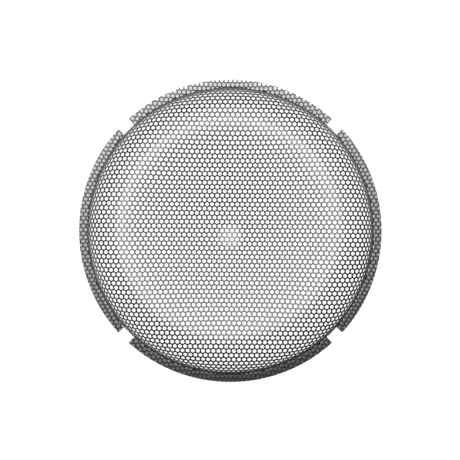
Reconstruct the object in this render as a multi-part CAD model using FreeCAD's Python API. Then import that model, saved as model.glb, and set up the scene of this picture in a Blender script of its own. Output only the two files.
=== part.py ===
import FreeCAD, Part
import math
import os

# Domed round speaker grille, pressed from one disc of perforated steel sheet.
# Millimetres. The flange rests on Z = 0, the dome rises along +Z and the origin is
# on the grille's axis. The sheet is one piece on the real grille: it is divided here
# where it bends, into the crown, the shoulder, the side wall and the four flange tabs.
# The solids are plain sheet. hole_pitch and hole_diameter only give the sheet's weight.

# The sheet
sheet = 0.5
hole_pitch = 2.5
hole_diameter = 1.9
steel_density = 7.85e-6

# The formed shape. Radii and heights other than the overall ones are on the middle of
# the sheet's thickness, and the wall angle is measured from the flange.
overall_height = 23.8
flange_outer_radius = 75.65
crown_radius = 280.0
shoulder_radius = 11.5
wall_angle = math.radians(84.0)
wall_foot_radius = 71.5
flange_bend_radius = 0.9

# The notches that part the flange into tabs
notch_width = 7.2
notch_count = 4
first_notch_angle = 45.0

# The tabs are named for the way they face, with the front towards -Y
tab_sides = {"right": (1, 0), "back": (0, 1), "left": (-1, 0), "front": (0, -1)}

# Heights of the flat flange, of the wall's foot above it, and of the crown's top
flange_z = sheet / 2
foot_z = flange_z + flange_bend_radius * (1 - math.cos(wall_angle))
crown_z = overall_height - sheet / 2

# The crown and the shoulder are arcs that share a tangent. The slope where they meet
# is the one that brings the wall down to wall_foot_radius.
centre_gap = crown_radius - shoulder_radius
crown_centre_z = crown_z - crown_radius
foot_below_arcs = crown_centre_z - foot_z + shoulder_radius * math.cos(wall_angle)
foot_from_arcs = shoulder_radius * math.sin(wall_angle) + foot_below_arcs / math.tan(wall_angle)
turn_to_wall = math.acos((wall_foot_radius - foot_from_arcs) * math.sin(wall_angle) / centre_gap)
crown_slope = wall_angle - turn_to_wall
shoulder_centre_r = centre_gap * math.sin(crown_slope)
shoulder_centre_z = crown_centre_z + centre_gap * math.cos(crown_slope)
bend_centre_r = wall_foot_radius + flange_bend_radius * math.sin(wall_angle)
bend_centre_z = flange_z + flange_bend_radius


def on_arc(centre_r, centre_z, radius, slope):
    """The point of an arc, in the XZ plane, where its outward normal leans out by slope.

    A negative radius gives an arc that bends the other way, as the one at the flange does.
    """
    return FreeCAD.Vector(centre_r + radius * math.sin(slope), 0, centre_z + radius * math.cos(slope))


def arc_edge(centre_r, centre_z, radius, first_slope, last_slope):
    middle_slope = (first_slope + last_slope) / 2
    slopes = (first_slope, middle_slope, last_slope)
    points = [on_arc(centre_r, centre_z, radius, slope) for slope in slopes]
    return Part.Arc(*points).toShape()


def line_edge(first, last):
    return Part.LineSegment(first, last).toShape()


def turned(edges):
    """The solid swept by a closed outline in the XZ plane as it turns once about the axis."""
    outline = Part.Wire(Part.__sortEdges__(edges))
    return Part.Face(outline).revolve(FreeCAD.Vector(0, 0, 0), FreeCAD.Vector(0, 0, 1), 360)


def bent_sheet(centre_r, centre_z, radius, first_slope, last_slope):
    """Sheet whose middle follows one arc of the profile."""
    outer = radius + sheet / 2
    inner = radius - sheet / 2
    edges = [
        arc_edge(centre_r, centre_z, outer, first_slope, last_slope),
        arc_edge(centre_r, centre_z, inner, first_slope, last_slope),
    ]
    for slope in (first_slope, last_slope):
        top = on_arc(centre_r, centre_z, outer, slope)
        under = on_arc(centre_r, centre_z, inner, slope)
        edges.append(line_edge(top, under))
    return turned(edges)


def crown():
    return bent_sheet(0, crown_centre_z, crown_radius, 0, crown_slope)


def shoulder():
    return bent_sheet(shoulder_centre_r, shoulder_centre_z, shoulder_radius, crown_slope, wall_angle)


def side_wall():
    """The straight, steep stretch between the shoulder and the bend at the flange."""
    outside_top = on_arc(shoulder_centre_r, shoulder_centre_z, shoulder_radius + sheet / 2, wall_angle)
    inside_top = on_arc(shoulder_centre_r, shoulder_centre_z, shoulder_radius - sheet / 2, wall_angle)
    outside_foot = on_arc(bend_centre_r, bend_centre_z, sheet / 2 - flange_bend_radius, wall_angle)
    inside_foot = on_arc(bend_centre_r, bend_centre_z, -sheet / 2 - flange_bend_radius, wall_angle)
    corners = [outside_top, outside_foot, inside_foot, inside_top]
    return turned([line_edge(corners[i], corners[i - 1]) for i in range(len(corners))])


def flange_ring():
    """The bend at the wall's foot and the flat flange outside it."""
    upper = flange_bend_radius - sheet / 2
    lower = flange_bend_radius + sheet / 2
    upper_foot = on_arc(bend_centre_r, bend_centre_z, -upper, wall_angle)
    lower_foot = on_arc(bend_centre_r, bend_centre_z, -lower, wall_angle)
    upper_rim = FreeCAD.Vector(flange_outer_radius, 0, sheet)
    lower_rim = FreeCAD.Vector(flange_outer_radius, 0, 0)
    return turned([
        arc_edge(bend_centre_r, bend_centre_z, -upper, wall_angle, 0),
        line_edge(on_arc(bend_centre_r, bend_centre_z, -upper, 0), upper_rim),
        line_edge(upper_rim, lower_rim),
        line_edge(lower_rim, on_arc(bend_centre_r, bend_centre_z, -lower, 0)),
        arc_edge(bend_centre_r, bend_centre_z, -lower, 0, wall_angle),
        line_edge(lower_foot, upper_foot),
    ])


def notch_cutter(index):
    """A parallel-sided slot through the flange and its bend, in to the foot of the wall."""
    slot = Part.makeBox(flange_outer_radius, notch_width, overall_height)
    slot.translate(FreeCAD.Vector(wall_foot_radius / 2, -notch_width / 2, -overall_height / 2))
    angle = first_notch_angle + 360.0 / notch_count * index
    slot.rotate(FreeCAD.Vector(0, 0, 0), FreeCAD.Vector(0, 0, 1), angle)
    return slot


def flange_tabs():
    """The four stretches of flange between the notches, by name."""
    notched = flange_ring().cut([notch_cutter(i) for i in range(notch_count)])
    tabs = {}
    for side, (x, y) in tab_sides.items():
        tab = max(notched.Solids, key=lambda solid: x * solid.CenterOfMass.x + y * solid.CenterOfMass.y)
        tabs["flange_tab_" + side] = tab
    return tabs


nodes = {"crown_mesh": crown(), "shoulder_mesh": shoulder(), "side_wall_mesh": side_wall()}
nodes.update(flange_tabs())

os.makedirs("parts", exist_ok=True)
for name, shape in nodes.items():
    shape.exportStep("parts/" + name + ".step")
    print(name, "valid", shape.isValid(), "solids", len(shape.Solids), "mm3", round(shape.Volume, 1))

open_share = math.pi / (2 * math.sqrt(3)) * (hole_diameter / hole_pitch) ** 2
sheet_volume = sum(shape.Volume for shape in nodes.values())
mass = sheet_volume * (1 - open_share) * steel_density
print("open area", round(open_share, 3), "mass of the punched sheet, kg", round(mass, 4))
print("slope where crown meets shoulder", round(math.degrees(crown_slope), 2))
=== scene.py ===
# %% [markdown]
# # A domed speaker grille in perforated steel
#
# The real grille starts as a flat disc of punched steel: some four thousand round holes,
# staggered like honeycomb. A press draws the disc into a dome, a die trims its flange and
# cuts four notches, and the part is painted charcoal. The model is made in the same order:
# first the punched sheet, then the pressing, then the trim, then the paint.
#
# The CAD frame comes first, because every size that it knows is read from it.

# %% Load the frame and read its sizes
import math

import bpy
import numpy as np
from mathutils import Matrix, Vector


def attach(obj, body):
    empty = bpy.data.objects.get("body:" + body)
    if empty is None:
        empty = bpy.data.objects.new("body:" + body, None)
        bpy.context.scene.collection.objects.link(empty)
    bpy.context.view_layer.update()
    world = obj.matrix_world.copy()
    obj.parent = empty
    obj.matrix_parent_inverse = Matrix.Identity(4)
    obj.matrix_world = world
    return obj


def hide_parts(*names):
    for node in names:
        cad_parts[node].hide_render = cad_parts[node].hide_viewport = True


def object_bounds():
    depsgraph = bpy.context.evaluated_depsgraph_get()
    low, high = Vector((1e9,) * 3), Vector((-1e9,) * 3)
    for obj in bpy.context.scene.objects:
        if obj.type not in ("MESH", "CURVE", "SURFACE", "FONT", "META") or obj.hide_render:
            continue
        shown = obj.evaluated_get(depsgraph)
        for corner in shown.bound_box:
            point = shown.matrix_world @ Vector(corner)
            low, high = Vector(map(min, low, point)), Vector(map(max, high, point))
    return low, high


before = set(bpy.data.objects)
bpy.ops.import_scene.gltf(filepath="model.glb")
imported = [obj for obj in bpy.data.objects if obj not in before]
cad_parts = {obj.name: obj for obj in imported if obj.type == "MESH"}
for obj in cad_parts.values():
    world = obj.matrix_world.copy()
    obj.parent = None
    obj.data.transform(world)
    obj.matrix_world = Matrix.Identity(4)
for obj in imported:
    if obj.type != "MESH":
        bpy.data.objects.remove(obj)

CAD_LOW, CAD_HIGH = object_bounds()
MM = 0.001
HEIGHT = CAD_HIGH.z
FLANGE_RADIUS = min(-CAD_LOW.x, CAD_HIGH.x, -CAD_LOW.y, CAD_HIGH.y)
print("nodes", sorted(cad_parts))
print("flange radius and height, mm", round(FLANGE_RADIUS / MM, 2), round(HEIGHT / MM, 2))

# %% [markdown]
# ## The profile
#
# Cut through its axis, the sheet is five stretches that share their tangents: a very flat
# arc for the crown, a tight arc for the shoulder, a steep straight wall, a small bend and
# the flat flange. A curve drawn point by point could give the same outline. Arcs and lines
# are what the press tool has, they need only seven sizes, and they tell the slope of the
# sheet at every place, which the holes need.

# %% Sizes of the pressing
SHEET = 0.5 * MM
CROWN_RADIUS = 280.0 * MM
SHOULDER_RADIUS = 11.5 * MM
WALL_ANGLE = math.radians(84.0)
WALL_FOOT_RADIUS = 71.5 * MM
BEND_RADIUS = 0.9 * MM
NOTCH_WIDTH = 7.2 * MM
NOTCH_ANGLES = [math.radians(45 + 90 * i) for i in range(4)]

flange_z = SHEET / 2
crown_z = HEIGHT - SHEET / 2
foot_z = flange_z + BEND_RADIUS * (1 - math.cos(WALL_ANGLE))
centre_gap = CROWN_RADIUS - SHOULDER_RADIUS
crown_centre_z = crown_z - CROWN_RADIUS
foot_below_arcs = crown_centre_z - foot_z + SHOULDER_RADIUS * math.cos(WALL_ANGLE)
foot_from_arcs = SHOULDER_RADIUS * math.sin(WALL_ANGLE) + foot_below_arcs / math.tan(WALL_ANGLE)
crown_slope = WALL_ANGLE - math.acos((WALL_FOOT_RADIUS - foot_from_arcs) * math.sin(WALL_ANGLE) / centre_gap)
shoulder_r = centre_gap * math.sin(crown_slope)
shoulder_z = crown_centre_z + centre_gap * math.cos(crown_slope)
wall_top_r = shoulder_r + SHOULDER_RADIUS * math.sin(WALL_ANGLE)
wall_top_z = shoulder_z + SHOULDER_RADIUS * math.cos(WALL_ANGLE)
bend_r = WALL_FOOT_RADIUS + BEND_RADIUS * math.sin(WALL_ANGLE)
bend_z = flange_z + BEND_RADIUS

# Distances along the sheet from the axis to where each stretch ends
crown_end = CROWN_RADIUS * crown_slope
shoulder_end = crown_end + SHOULDER_RADIUS * (WALL_ANGLE - crown_slope)
wall_end = shoulder_end + (wall_top_z - foot_z) / math.sin(WALL_ANGLE)
bend_end = wall_end + BEND_RADIUS * WALL_ANGLE
flange_end = bend_end + FLANGE_RADIUS - bend_r
print("slope where the crown meets the shoulder, degrees", round(math.degrees(crown_slope), 2))
print("length of the profile, mm", round(flange_end / MM, 2))


# %% The profile as a function of the distance along the sheet
def profile(distance):
    """Radius, height and slope of the middle of the sheet."""
    down_arc = distance / CROWN_RADIUS
    over_shoulder = crown_slope + (distance - crown_end) / SHOULDER_RADIUS
    down_wall = distance - shoulder_end
    round_bend = WALL_ANGLE - (distance - wall_end) / BEND_RADIUS
    where = [distance <= crown_end, distance <= shoulder_end, distance <= wall_end, distance <= bend_end]
    radius = np.select(where, [
        CROWN_RADIUS * np.sin(down_arc),
        shoulder_r + SHOULDER_RADIUS * np.sin(over_shoulder),
        wall_top_r + down_wall * math.cos(WALL_ANGLE),
        bend_r - BEND_RADIUS * np.sin(round_bend),
    ], bend_r + distance - bend_end)
    height = np.select(where, [
        crown_centre_z + CROWN_RADIUS * np.cos(down_arc),
        shoulder_z + SHOULDER_RADIUS * np.cos(over_shoulder),
        wall_top_z - down_wall * math.sin(WALL_ANGLE),
        bend_z - BEND_RADIUS * np.cos(round_bend),
    ], flange_z)
    slope = np.select(where, [down_arc, over_shoulder, WALL_ANGLE, round_bend], 0.0)
    return radius, height, slope


# %% [markdown]
# ## The hole pattern, and how pressing moves it
#
# The 2.5 mm stagger is a stock one for loudspeaker grilles, where it goes with 2 mm holes.
# The holes here are 1.9 mm, a width chosen for how the webs between them look. Rows of
# holes made straight on the dome would look false: on a real pressing the rows are punched
# in the flat disc, and the press carries them over the dome.
# So each point keeps its angle, and its distance from the centre becomes a distance along
# the profile. The press also stretches the outer crown by a tenth. That stretch fades as a
# bell curve, whose running total is the error function.

# %% The flat pattern and the stretch
PITCH = 2.5 * MM
HOLE = 1.9 * MM
ROW_GAP = PITCH * math.sqrt(3) / 2
ROW_TILT = math.radians(-0.37)
PATTERN_SHIFT = (0.338 * PITCH, 0.03 * PITCH)
STRETCH_MOST, STRETCH_AT, STRETCH_SPREAD = 0.112, 48.25 * MM, 9.7 * MM
stretch_gain = STRETCH_MOST * STRETCH_SPREAD * math.sqrt(math.pi) / 2
bell_total = np.vectorize(math.erf)


def formed_distance(blank_radius):
    """Distance along the pressed sheet of a point at this radius on the flat disc."""
    past = bell_total((blank_radius - STRETCH_AT) / STRETCH_SPREAD)
    return blank_radius + stretch_gain * (past + math.erf(STRETCH_AT / STRETCH_SPREAD))


def hole_centres():
    """Centres of the holes on the flat disc, as an array of x and y."""
    rows = int(FLANGE_RADIUS / ROW_GAP) + 6
    row, column = np.mgrid[-rows:rows + 1, -rows:rows + 1]
    x = PATTERN_SHIFT[0] + PITCH * (column + (row % 2) / 2)
    y = PATTERN_SHIFT[1] + ROW_GAP * row
    return np.stack([x.ravel(), y.ravel()], axis=1)


centres = hole_centres()
centre_distance = formed_distance(np.hypot(centres[:, 0], centres[:, 1]))
centre_angle = np.arctan2(centres[:, 1], centres[:, 0]) + ROW_TILT
kept = centre_distance < flange_end + PITCH / 2
centres, centre_distance, centre_angle = centres[kept], centre_distance[kept], centre_angle[kept]
print("holes in the pattern", len(centres))

# %% [markdown]
# ## One hole, its web and its rounded lips
#
# A Boolean cut for each hole would be slow, and would leave long thin triangles. Here the
# sheet is laid like honeycomb instead: every hole has a hexagonal cell, and a cell is a
# stack of loops, from the hexagon on top of the sheet in to the lip of the hole, down its
# wall and out to the hexagon underneath. Neighbouring cells share their hexagon's points,
# so they weld into one skin. The lip is rounded, as punching and paint leave it, because
# that thin round edge catches most of the light.

# %% The loops of one cell
SIDE_STEPS = 3
LIP = 0.1 * MM
FLAT_HOLD = 0.012 * MM
HALF = SHEET / 2
ROUND = 1 - math.sqrt(0.5)


def cell_outline():
    """Points round the hexagon, and the same directions on a circle of radius one."""
    corner_radius = PITCH / math.sqrt(3)
    turns = [math.radians(60 * k) for k in range(6)]
    corners = [(corner_radius * math.sin(turn), -corner_radius * math.cos(turn)) for turn in turns]
    points = []
    for k in range(6):
        here, there = np.array(corners[k]), np.array(corners[(k + 1) % 6])
        points += [here + (there - here) * i / SIDE_STEPS for i in range(SIDE_STEPS)]
    hexagon = np.array(points)
    return hexagon, hexagon / np.linalg.norm(hexagon, axis=1)[:, None]


hexagon, circle = cell_outline()
AROUND = len(hexagon)
# Each loop: its outline on the flat sheet, its height in the sheet, and how near it is to the lip
loops = [
    (hexagon, HALF, 0.0),
    (circle * (HOLE / 2 + LIP + FLAT_HOLD), HALF, 0.15),
    (circle * (HOLE / 2 + LIP), HALF, 0.25),
    (circle * (HOLE / 2 + LIP * ROUND), HALF - LIP * ROUND, 1.0),
    (circle * (HOLE / 2), HALF - LIP, 0.6),
    (circle * (HOLE / 2), LIP - HALF, 0.2),
    (circle * (HOLE / 2 + LIP), -HALF, 0.6),
    (hexagon, -HALF, 0.0),
]
print("points round a hole", AROUND, "and loops in a cell", len(loops))


# %% Weld cells into a closed piece of sheet, and press it
# Points nearer than WELD are one point. The shift, a share of WELD, keeps whole multiples
# of it away from the place where rounding could go either way.
WELD = 0.001 * MM
WELD_SHIFT = 0.217


def pressed(points, heights):
    """Carries points of the flat disc, at heights in the sheet, to the pressed shape."""
    radius, height, slope = profile(formed_distance(np.hypot(points[:, 0], points[:, 1])))
    angle = np.arctan2(points[:, 1], points[:, 0]) + ROW_TILT
    out = radius + heights * np.sin(slope)
    return np.stack([out * np.cos(angle), out * np.sin(angle), height + heights * np.cos(slope)], axis=1)


def sheet_piece(name, chosen):
    """A piece of pressed sheet made of the chosen cells, closed where it meets the rest."""
    cells = centres[chosen]
    flat = np.stack([cells[:, None, :] + outline[None] for outline, _, _ in loops], axis=1)
    heights = np.broadcast_to(np.array([h for _, h, _ in loops])[None, :, None], flat.shape[:3])
    nearness = np.broadcast_to(np.array([n for _, _, n in loops])[None, :, None], flat.shape[:3])
    corners = np.concatenate([flat, heights[..., None]], axis=3).reshape(-1, 3)
    key = np.round(corners / WELD + WELD_SHIFT)
    _, first, index = np.unique(key, axis=0, return_index=True, return_inverse=True)
    points = flat.reshape(-1, 2)[first]
    index = index.reshape(flat.shape[:3])
    after = np.roll(index, -1, axis=2)
    quads = np.stack([index[:, :-1], after[:, :-1], after[:, 1:], index[:, 1:]], axis=3).reshape(-1, 4)
    top, bottom = index[:, 0].reshape(-1), index[:, -1].reshape(-1)
    top_after, bottom_after = after[:, 0].reshape(-1), after[:, -1].reshape(-1)
    # A hexagon's edge that no other cell runs along the other way is on the piece's rim
    span = len(points)
    rim = ~np.isin(top_after * span + top, top * span + top_after)
    side = np.stack([bottom[rim], bottom_after[rim], top_after[rim], top[rim]], axis=1)
    faces = np.concatenate([quads, side])
    placed = pressed(points, heights.reshape(-1)[first])
    mesh = bpy.data.meshes.new(name)
    mesh.from_pydata(placed.tolist(), [], faces.tolist())
    lip = mesh.attributes.new("lip", "FLOAT", "POINT")
    lip.data.foreach_set("value", nearness.reshape(-1)[first].astype(np.float32))
    piece = bpy.data.objects.new(name, mesh)
    bpy.context.scene.collection.objects.link(piece)
    return piece


# %% [markdown]
# ## The crown and the shoulder
#
# The crown and the shoulder are whole: nothing is cut from them, so the welded cells are
# the finished mesh. Each is made as a few sectors, only to keep every mesh a size that any
# program opens easily. The sectors meet along the middle of the webs, where no eye looks.

# %% Make the crown and the shoulder
SMOOTH_UNDER = math.radians(50)


def sector(count, number):
    """Which cells lie in one of count equal sectors about the axis."""
    turn = (centre_angle / (2 * math.pi)) % 1.0
    return np.floor(turn * count).astype(int) % count == number


def shade(piece):
    """Smooth over the lips and round the holes, crisp where the sheet is cut."""
    piece.data.polygons.foreach_set("use_smooth", [True] * len(piece.data.polygons))
    piece.data.set_sharp_from_angle(angle=SMOOTH_UNDER)
    return piece


sheet_pieces = {}
on_crown = centre_distance < crown_end
on_shoulder = (centre_distance >= crown_end) & (centre_distance < shoulder_end)
on_wall = (centre_distance >= shoulder_end) & (centre_distance < wall_end)
on_flange = centre_distance >= wall_end
for stretch, chosen, count in (("crown", on_crown, 3), ("shoulder", on_shoulder, 2)):
    for number in range(count):
        name = f"{stretch}_sector_{number + 1}"
        piece = shade(sheet_piece(name, chosen & sector(count, number)))
        sheet_pieces[name] = (piece, stretch + "_mesh")
for name, (piece, _) in sheet_pieces.items():
    print(name, "faces", len(piece.data.polygons))

# %% [markdown]
# ## The wall, the flange and the trimming die
#
# The die trims the flange to a circle and cuts four notches, straight through whatever
# holes lie in its way. That leaves half holes and short spikes of web along the edge, and
# they are what makes the edge look real. So here a Boolean is the right tool: it cuts the
# same way as the die, and only the few hundred cells at the edge go through it.

# %% The die: a ring outside the flange, and four notch punches
DIE_DEPTH = 5.0 * MM
DIE_STEPS = 360


def cutter(name, outlines):
    """A closed solid for each outline, given as (points, low, high)."""
    points, faces = [], []
    for outline, low, high in outlines:
        start, count = len(points), len(outline)
        points += [(x, y, low) for x, y in outline] + [(x, y, high) for x, y in outline]
        faces.append([start + i for i in reversed(range(count))])
        faces.append([start + count + i for i in range(count)])
        for i in range(count):
            j = (i + 1) % count
            faces.append([start + i, start + j, start + count + j, start + count + i])
    mesh = bpy.data.meshes.new(name)
    mesh.from_pydata(points, [], faces)
    made = bpy.data.objects.new(name, mesh)
    bpy.context.scene.collection.objects.link(made)
    return made


def ring_outline(radius):
    steps = [2 * math.pi * i / DIE_STEPS for i in range(DIE_STEPS)]
    return [(radius * math.cos(a), radius * math.sin(a)) for a in steps]


def notch_outline(angle):
    """A slot across the flange, square to its radius."""
    along, across = (math.cos(angle), math.sin(angle)), (-math.sin(angle), math.cos(angle))
    near, far, half = WALL_FOOT_RADIUS * 0.9, FLANGE_RADIUS * 1.1, NOTCH_WIDTH / 2
    corners = [(near, -half), (far, -half), (far, half), (near, half)]
    return [(r * along[0] + s * across[0], r * along[1] + s * across[1]) for r, s in corners]


inside_die = cutter("trim_die", [(ring_outline(FLANGE_RADIUS), -DIE_DEPTH, HEIGHT)])
notch_die = cutter("notch_die", [(notch_outline(a), -DIE_DEPTH, foot_z) for a in NOTCH_ANGLES])
print("die made, notch width, mm", round(NOTCH_WIDTH / MM, 2))


# %% Cut the wall and the four flange tabs
def die_cut(piece, die, operation):
    cut = piece.modifiers.new("cut", "BOOLEAN")
    cut.solver, cut.operation, cut.object = "EXACT", operation, die
    graph = bpy.context.evaluated_depsgraph_get()
    mesh = bpy.data.meshes.new_from_object(piece.evaluated_get(graph))
    piece.modifiers.clear()
    piece.data = mesh
    return piece


wall = sheet_piece("side_wall", on_wall)
die_cut(wall, notch_die, "DIFFERENCE")
sheet_pieces["side_wall"] = (shade(wall), "side_wall_mesh")
for number, side in enumerate(("right", "back", "left", "front")):
    name = "tab_" + side
    quarter = np.cos(centre_angle - number * math.pi / 2) >= math.cos(math.pi / 4)
    tab = sheet_piece(name, on_flange & quarter)
    die_cut(tab, inside_die, "INTERSECT")
    die_cut(tab, notch_die, "DIFFERENCE")
    sheet_pieces[name] = (shade(tab), "flange_tab_" + side)
for die in (inside_die, notch_die):
    bpy.data.objects.remove(die)
for name in ("side_wall", "tab_right", "tab_back", "tab_left", "tab_front"):
    print(name, "faces", len(sheet_pieces[name][0].data.polygons))

# %% [markdown]
# ## Charcoal paint
#
# The sheet is powder coated: nearly black, slightly warm, with a satin gloss. Close up the
# coat has the shallow ripple that painters call orange peel, and it lies thinner on the
# lips of the holes, where handling has rubbed it a little lighter and duller. Both effects
# are groups of nodes, so that each coated finish can use them with its own values.

# %% Node groups for orange peel and rubbed lips
GRIT_SHARE = 0.03


def new_group(name, inputs, outputs):
    """An empty node group with float inputs, given as name to default, and named outputs."""
    group = bpy.data.node_groups.new(name, "ShaderNodeTree")
    for label, default in inputs.items():
        socket = group.interface.new_socket(label, in_out="INPUT", socket_type="NodeSocketFloat")
        socket.default_value = default
    for label in outputs:
        group.interface.new_socket(label, in_out="OUTPUT", socket_type="NodeSocketFloat")
    return group, group.nodes.new("NodeGroupInput"), group.nodes.new("NodeGroupOutput")


def feed(tree, socket, value):
    """Puts a number on a socket, or joins another node's output to it."""
    if isinstance(value, (int, float)):
        socket.default_value = value
    else:
        tree.links.new(value, socket)


def maths(tree, operation, first, second):
    node = tree.nodes.new("ShaderNodeMath")
    node.operation = operation
    for socket, value in zip(node.inputs, (first, second)):
        feed(tree, socket, value)
    return node.outputs[0]


def orange_peel_group():
    """Height of a sprayed coat: broad ripples and fine grit, each as a noise scale per metre."""
    group, into, out = new_group("orange_peel", {"Ripples": 900.0, "Grit": 9000.0}, ["Height"])
    place = group.nodes.new("ShaderNodeTexCoord")
    ripple = group.nodes.new("ShaderNodeTexNoise")
    grit = group.nodes.new("ShaderNodeTexNoise")
    for noise, label in ((ripple, "Ripples"), (grit, "Grit")):
        group.links.new(place.outputs["Object"], noise.inputs["Vector"])
        group.links.new(into.outputs[label], noise.inputs["Scale"])
        noise.inputs["Detail"].default_value = 2.0
    fine = maths(group, "MULTIPLY", grit.outputs["Fac"], GRIT_SHARE)
    group.links.new(maths(group, "ADD", ripple.outputs["Fac"], fine), out.inputs["Height"])
    return group


def rubbed_lip_group():
    """How much the coat is rubbed, from 0 to 1, from the nearness to a lip."""
    group, into, out = new_group("rubbed_lip", {"Amount": 0.5, "Patches": 60.0}, ["Rubbed"])
    near = group.nodes.new("ShaderNodeAttribute")
    near.attribute_name = "lip"
    place = group.nodes.new("ShaderNodeTexCoord")
    patches = group.nodes.new("ShaderNodeTexNoise")
    group.links.new(place.outputs["Object"], patches.inputs["Vector"])
    group.links.new(into.outputs["Patches"], patches.inputs["Scale"])
    edge = maths(group, "POWER", near.outputs["Fac"], 2.0)
    worn = maths(group, "MULTIPLY", edge, patches.outputs["Fac"])
    group.links.new(maths(group, "MULTIPLY", worn, into.outputs["Amount"]), out.inputs["Rubbed"])
    return group


orange_peel = orange_peel_group()
rubbed_lip = rubbed_lip_group()
print("groups", orange_peel.name, rubbed_lip.name)


# %% The paint
PAINT, RUBBED_PAINT = (0.0115, 0.0108, 0.0098), (0.045, 0.043, 0.040)
GLOSS_ROUGHNESS, RUBBED_ROUGHNESS = 0.10, 0.25
PAINT_IOR = 1.52
RIPPLE_DEPTH, RIPPLE_STRENGTH = 0.003 * MM, 0.5


def mix_colour(tree, factor, first, second):
    node = tree.nodes.new("ShaderNodeMix")
    node.data_type = "RGBA"
    tree.links.new(factor, node.inputs["Factor"])
    node.inputs["A"].default_value = (*first, 1.0)
    node.inputs["B"].default_value = (*second, 1.0)
    return node.outputs["Result"]


def group_node(tree, group, **values):
    node = tree.nodes.new("ShaderNodeGroup")
    node.node_tree = group
    for label, value in values.items():
        node.inputs[label].default_value = value
    return node


def charcoal_paint():
    paint = bpy.data.materials.new("charcoal_paint")
    paint.use_nodes = True
    tree = paint.node_tree
    shader = tree.nodes["Principled BSDF"]
    peel = group_node(tree, orange_peel, Ripples=800.0, Grit=12000.0)
    rubbed = group_node(tree, rubbed_lip, Amount=0.55, Patches=45.0)
    colour = mix_colour(tree, rubbed.outputs["Rubbed"], PAINT, RUBBED_PAINT)
    tree.links.new(colour, shader.inputs["Base Color"])
    dulled = maths(tree, "MULTIPLY", rubbed.outputs["Rubbed"], RUBBED_ROUGHNESS)
    tree.links.new(maths(tree, "ADD", dulled, GLOSS_ROUGHNESS), shader.inputs["Roughness"])
    bump = tree.nodes.new("ShaderNodeBump")
    bump.inputs["Strength"].default_value = RIPPLE_STRENGTH
    bump.inputs["Distance"].default_value = RIPPLE_DEPTH
    tree.links.new(peel.outputs["Height"], bump.inputs["Height"])
    tree.links.new(bump.outputs["Normal"], shader.inputs["Normal"])
    shader.inputs["IOR"].default_value = PAINT_IOR
    return paint


paint = charcoal_paint()
for name, (piece, node) in sheet_pieces.items():
    piece.data.materials.clear()
    piece.data.materials.append(paint)
    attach(piece, "root")
    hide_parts(node)
print("painted pieces", len(sheet_pieces))

# %% [markdown]
# ## The light table
#
# The grille lies on a light table, so every hole of the dome shows white. The table must be
# white to the camera, but that much light from below would wash out the paint. So the
# camera's own rays see an even white. All other rays see painted light and shade on the
# table: bright at the back, and dim in front where the dome would shade it. That keeps the
# front of the dome dark.
#
# Where the flange touches the table its holes show shade instead of light: palest at the
# back, where the main light comes from, and darkest in front, behind the dome. That shade
# is a thin ring of its own, just above the table, in four strips that stop at the notches.

# %% Helpers for the stage
def stage_mesh(name, points, faces):
    mesh = bpy.data.meshes.new(name)
    mesh.from_pydata(points, [], faces)
    made = bpy.data.objects.new(name, mesh)
    bpy.context.scene.collection.objects.link(made)
    return made


def glowing_material(name, albedo, colour=(1.0, 1.0, 1.0)):
    """A matt material that also gives out light, and its shader."""
    made = bpy.data.materials.new(name)
    made.use_nodes = True
    shader = made.node_tree.nodes["Principled BSDF"]
    shader.inputs["Base Color"].default_value = (albedo, albedo, albedo, 1.0)
    shader.inputs["Roughness"].default_value = 0.9
    shader.inputs["Specular IOR Level"].default_value = 0.0
    shader.inputs["Emission Color"].default_value = (*colour, 1.0)
    shader.inputs["Emission Strength"].default_value = 1.0
    return made, shader


def vector_node(tree, operation, kind="Object"):
    """A Vector Math node fed with the place of the point that is shaded."""
    place = tree.nodes.new("ShaderNodeTexCoord")
    node = tree.nodes.new("ShaderNodeVectorMath")
    node.operation = operation
    tree.links.new(place.outputs[kind], node.inputs[0])
    return node


def toward(tree, angle, kind="Object"):
    """How far the point lies in the direction of an angle about the axis."""
    node = vector_node(tree, "DOT_PRODUCT", kind)
    node.inputs[1].default_value = (math.cos(angle), math.sin(angle), 0.0)
    return node.outputs["Value"]


def ranged(tree, value, start, end, at_start, at_end, kind="LINEAR"):
    """A value that goes from at_start to at_end while its input goes from start to end."""
    node = tree.nodes.new("ShaderNodeMapRange")
    node.interpolation_type = kind
    feed(tree, node.inputs["Value"], value)
    feed(tree, node.inputs["From Min"], start)
    feed(tree, node.inputs["From Max"], end)
    feed(tree, node.inputs["To Min"], at_start)
    feed(tree, node.inputs["To Max"], at_end)
    return node.outputs["Result"]


def by_ray(tree, to_camera, to_others):
    """One strength for the camera's own rays and another for all other rays."""
    is_camera = tree.nodes.new("ShaderNodeLightPath").outputs["Is Camera Ray"]
    seen = maths(tree, "MULTIPLY", is_camera, to_camera)
    unseen = maths(tree, "MULTIPLY", maths(tree, "SUBTRACT", 1.0, is_camera), to_others)
    return maths(tree, "ADD", seen, unseen)


def ring_of_faces(inner, inner_centre, outer, steps):
    """A flat ring about the axis, whose hole may be off its centre."""
    points, faces = [], []
    for i in range(steps):
        a = 2 * math.pi * i / steps
        points.append((inner_centre[0] + inner * math.cos(a), inner_centre[1] + inner * math.sin(a), 0.0))
        points.append((outer * math.cos(a), outer * math.sin(a), 0.0))
    for i in range(steps):
        j = (i + 1) % steps
        faces.append([2 * i, 2 * j, 2 * j + 1, 2 * i + 1])
    return points, faces


print("helpers ready")

# %% The light table
TABLE_HALF = 6.0
TABLE_DROP = 0.2 * MM
TABLE_ALBEDO = 0.15
TABLE_WHITE = 0.98
BRIGHT_WALLS = math.radians(115)
DIM_TABLE, BRIGHT_TABLE = 0.1, 1.2
DIM_UP_TO, BRIGHT_FROM = -0.10, 0.03

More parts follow.
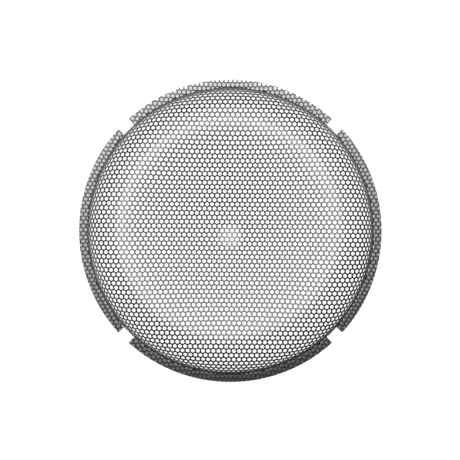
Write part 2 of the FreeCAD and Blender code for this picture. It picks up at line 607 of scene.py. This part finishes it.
corners = [(-1, -1), (1, -1), (1, 1), (-1, 1)]
table_corners = [(x * TABLE_HALF, y * TABLE_HALF, -TABLE_DROP) for x, y in corners]
floor = stage_mesh("floor", table_corners, [[0, 1, 2, 3]])
white, white_shader = glowing_material("light_table", TABLE_ALBEDO)
tree = white.node_tree
across = toward(tree, BRIGHT_WALLS)
# Painted light and shade: all rays but the camera's see the table glow bright at the back and dim in front,
# where the dome would shade it.
painted_table_light_and_shade = ranged(tree, across, DIM_UP_TO, BRIGHT_FROM, DIM_TABLE, BRIGHT_TABLE, "SMOOTHSTEP")
feed(tree, white_shader.inputs["Emission Strength"], by_ray(tree, TABLE_WHITE, painted_table_light_and_shade))
floor.data.materials.append(white)
print("table half width, m", TABLE_HALF, "below the flange, mm", round(TABLE_DROP / MM, 2))

# %% The shade under the flange
SHADE_STEPS = 48
SHADE_FROM = math.radians(100)
SHADE_ALBEDO = 0.02
SHADE_IN = WALL_FOOT_RADIUS - 4.0 * MM
BACK_GAP = 1.2 * MM
BACK_SHADE = (0.70, 0.695, 0.68, 1.0)
SIDE_SHADE = (0.36, 0.355, 0.345, 1.0)
FRONT_SHADE = (0.06, 0.059, 0.056, 1.0)
SIDE_PLACE = 0.45
FADE_START, FADE_SHIFT = SHADE_IN + 2.4 * MM, 6.0 * MM
FADE_LATEST, FADE_END = WALL_FOOT_RADIUS - 0.5 * MM, WALL_FOOT_RADIUS + 1.0 * MM


def shade_strips():
    """Four strips under the flange tabs, from notch to notch, a little narrower at the back."""
    points, faces = [], []
    gap = math.asin(NOTCH_WIDTH / 2 / FLANGE_RADIUS)
    for side in range(4):
        first = side * math.pi / 2 - math.pi / 4 + gap
        last = side * math.pi / 2 + math.pi / 4 - gap
        start = len(points)
        for i in range(SHADE_STEPS + 1):
            a = first + (last - first) * i / SHADE_STEPS
            shade_out = FLANGE_RADIUS - BACK_GAP * max(0.0, math.sin(a)) ** 6
            for radius in (SHADE_IN, shade_out):
                points.append((radius * math.cos(a), radius * math.sin(a), -TABLE_DROP / 2))
        for i in range(SHADE_STEPS):
            at = start + 2 * i
            faces.append([at, at + 1, at + 3, at + 2])
    return points, faces


under_flange = stage_mesh("shade_under_flange", *shade_strips())
shadow, shadow_shader = glowing_material("table_in_shade", SHADE_ALBEDO)
tree = shadow.node_tree
side = maths(tree, "ADD", maths(tree, "DIVIDE", toward(tree, SHADE_FROM), 2 * FLANGE_RADIUS), 0.5)
ramp = tree.nodes.new("ShaderNodeValToRGB")
tree.links.new(side, ramp.inputs["Fac"])
ramp.color_ramp.elements[0].color = FRONT_SHADE
ramp.color_ramp.elements[1].color = BACK_SHADE
ramp.color_ramp.elements.new(SIDE_PLACE).color = SIDE_SHADE
shifted = maths(tree, "ADD", maths(tree, "MULTIPLY", side, FADE_SHIFT), FADE_START)
first_shade = maths(tree, "MINIMUM", shifted, FADE_LATEST)
reach = vector_node(tree, "LENGTH").outputs["Value"]
blend = tree.nodes.new("ShaderNodeMix")
blend.data_type = "RGBA"
blend.inputs["A"].default_value = (TABLE_WHITE, TABLE_WHITE, TABLE_WHITE, 1.0)
feed(tree, blend.inputs["Factor"], ranged(tree, reach, first_shade, FADE_END, 0.0, 1.0, "SMOOTHSTEP"))
tree.links.new(ramp.outputs["Color"], blend.inputs["B"])
tree.links.new(blend.outputs["Result"], shadow_shader.inputs["Emission Color"])
under_flange.data.materials.append(shadow)
print("strips of shade", len(under_flange.data.polygons) // SHADE_STEPS)

# %% [markdown]
# ## The lights
#
# The paint is glossy enough to act as a dark convex mirror, so the light is planned by what
# the dome should mirror. Overhead hangs the roof of a light tent, a big soft disc. Its rim
# glows most, and gives the bright ring on the outer crown. The camera looks through a hole
# in it, and a small lamp below that hole gives the spot at the middle.
#
# The flange is flat, so it mirrors only what is straight above it. A narrow ring of card
# hangs there, bright at the back and dark in front. With area lights alone the flange could
# not be darkened without darkening the dome beside it.

# %% The tent roof
TENT_STEPS = 96
TENT_HEIGHT, TENT_RADIUS = 1.5, 0.745
TENT_CENTRE = (-0.02, 0.052)
HOLE_RADIUS, HOLE_CENTRE = 0.10, (0.034, -0.09)
TENT_BRIGHT_SIDE = math.radians(285)
CLOTH_COLOUR, CLOTH_ALBEDO = (1.0, 0.985, 0.955), 0.5
MIDDLE_GLOW, OUTWARD_GLOW, SIDEWAYS_GLOW = 0.87, 4.6, 2.9
RIM_GLOW = 8.4
RIM_FROM, RIM_FULL = 0.78, 0.92
RIM_BRIGHT_AT, RIM_DARK_AT = -0.95, 0.7

tent = stage_mesh("tent_roof", *ring_of_faces(HOLE_RADIUS, HOLE_CENTRE, TENT_RADIUS, TENT_STEPS))
tent.location = (*TENT_CENTRE, TENT_HEIGHT)
tent.visible_camera = False
cloth, cloth_shader = glowing_material("tent_cloth", CLOTH_ALBEDO, CLOTH_COLOUR)
tree = cloth.node_tree
out = maths(tree, "DIVIDE", vector_node(tree, "LENGTH").outputs["Value"], TENT_RADIUS)
along = maths(tree, "DIVIDE", toward(tree, TENT_BRIGHT_SIDE), TENT_RADIUS)
outward = maths(tree, "MULTIPLY", maths(tree, "POWER", out, 2.0), OUTWARD_GLOW)
sideways = maths(tree, "MULTIPLY", along, SIDEWAYS_GLOW)
body = maths(tree, "ADD", maths(tree, "ADD", outward, MIDDLE_GLOW), sideways)
rim = ranged(tree, out, RIM_FROM, RIM_FULL, 0.0, 1.0, "SMOOTHSTEP")
rim_side = ranged(tree, along, RIM_BRIGHT_AT, RIM_DARK_AT, RIM_GLOW, 0.0)
rim_glow = maths(tree, "MULTIPLY", rim_side, rim)
feed(tree, cloth_shader.inputs["Emission Strength"], maths(tree, "ADD", body, rim_glow))
tent.data.materials.append(cloth)
print("tent radius and height, m", TENT_RADIUS, TENT_HEIGHT)

# %% The card ring above the flange
CARD_HEIGHT = 50.0 * MM
CARD_OUT = FLANGE_RADIUS + 4.0 * MM
CARD_COLOUR, CARD_ALBEDO = (1.0, 0.985, 0.96), 0.1
FRONT_GLOW, BACK_GLOW = 0.35, 4.1
GLOW_RISES_FROM = -0.45 * FLANGE_RADIUS

card = stage_mesh("flange_card", *ring_of_faces(WALL_FOOT_RADIUS, (0.0, 0.0), CARD_OUT, TENT_STEPS))
card.location = (0.0, 0.0, CARD_HEIGHT)
card.visible_camera = False
card_stock, card_shader = glowing_material("card_stock", CARD_ALBEDO, CARD_COLOUR)
tree = card_stock.node_tree
back = toward(tree, SHADE_FROM)
card_glow = ranged(tree, back, GLOW_RISES_FROM, FLANGE_RADIUS, FRONT_GLOW, BACK_GLOW)
feed(tree, card_shader.inputs["Emission Strength"], card_glow)
card.data.materials.append(card_stock)
print("card width, mm", round((CARD_OUT - WALL_FOOT_RADIUS) / MM, 1))

# %% A small lamp near the lens
LAMP_PLACE = (0.0, -0.0175, 0.7)

lamp = bpy.data.lights.new("lens_lamp", "AREA")
lamp.shape = "DISK"
lamp.size = 0.067
lamp.energy = 0.112
light = bpy.data.objects.new("lens_lamp", lamp)
bpy.context.scene.collection.objects.link(light)
light.location = LAMP_PLACE
light.rotation_mode = "QUATERNION"
light.rotation_quaternion = light.location.to_track_quat("Z", "Y")
light.visible_camera = False
print("lamp across, m", round(lamp.size, 3))

# %% [markdown]
# ## The room and the camera
#
# Around the table the room is bright behind and dim in front, so the steep shoulder of the
# dome shades from pale to dark as it turns. The camera looks straight down from far above,
# through a long lens, which keeps the outline of the dome inside the outline of the flange.

# %% World, camera and colour settings
DIM_ROOM, BRIGHT_ROOM = 0.05, 1.2
CEILING_LOSS = 0.8
CAMERA_HEIGHT = 2.5
CAMERA_SIDEWAYS, CAMERA_BACK = -0.17 * MM, 0.385 * MM
FIELD_WIDTH = 230.0 * MM
SENSOR_MM = 36.0

world = bpy.data.worlds.new("studio")
bpy.context.scene.world = world
world.use_nodes = True
tree = world.node_tree
backdrop = tree.nodes["Background"]
backdrop.inputs["Color"].default_value = (1.0, 1.0, 1.0, 1.0)
walls = ranged(tree, toward(tree, BRIGHT_WALLS, "Generated"), -0.7, 0.0, DIM_ROOM, BRIGHT_ROOM, "SMOOTHSTEP")
place = tree.nodes.new("ShaderNodeTexCoord")
rise = tree.nodes.new("ShaderNodeSeparateXYZ")
tree.links.new(place.outputs["Generated"], rise.inputs["Vector"])
lower = maths(tree, "SUBTRACT", 1.0, maths(tree, "MULTIPLY", rise.outputs["Z"], CEILING_LOSS))
feed(tree, backdrop.inputs["Strength"], by_ray(tree, 1.0, maths(tree, "MULTIPLY", walls, lower)))
bpy.context.scene.view_settings.view_transform = "Standard"

lens = bpy.data.cameras.new("camera")
lens.sensor_width = SENSOR_MM
lens.lens = SENSOR_MM * CAMERA_HEIGHT / FIELD_WIDTH
lens.clip_start, lens.clip_end = 0.1, 50.0
camera = bpy.data.objects.new("camera", lens)
camera.location = (CAMERA_SIDEWAYS, CAMERA_BACK, CAMERA_HEIGHT)
bpy.context.scene.collection.objects.link(camera)
bpy.context.scene.camera = camera
print("lens, mm", round(lens.lens, 1))
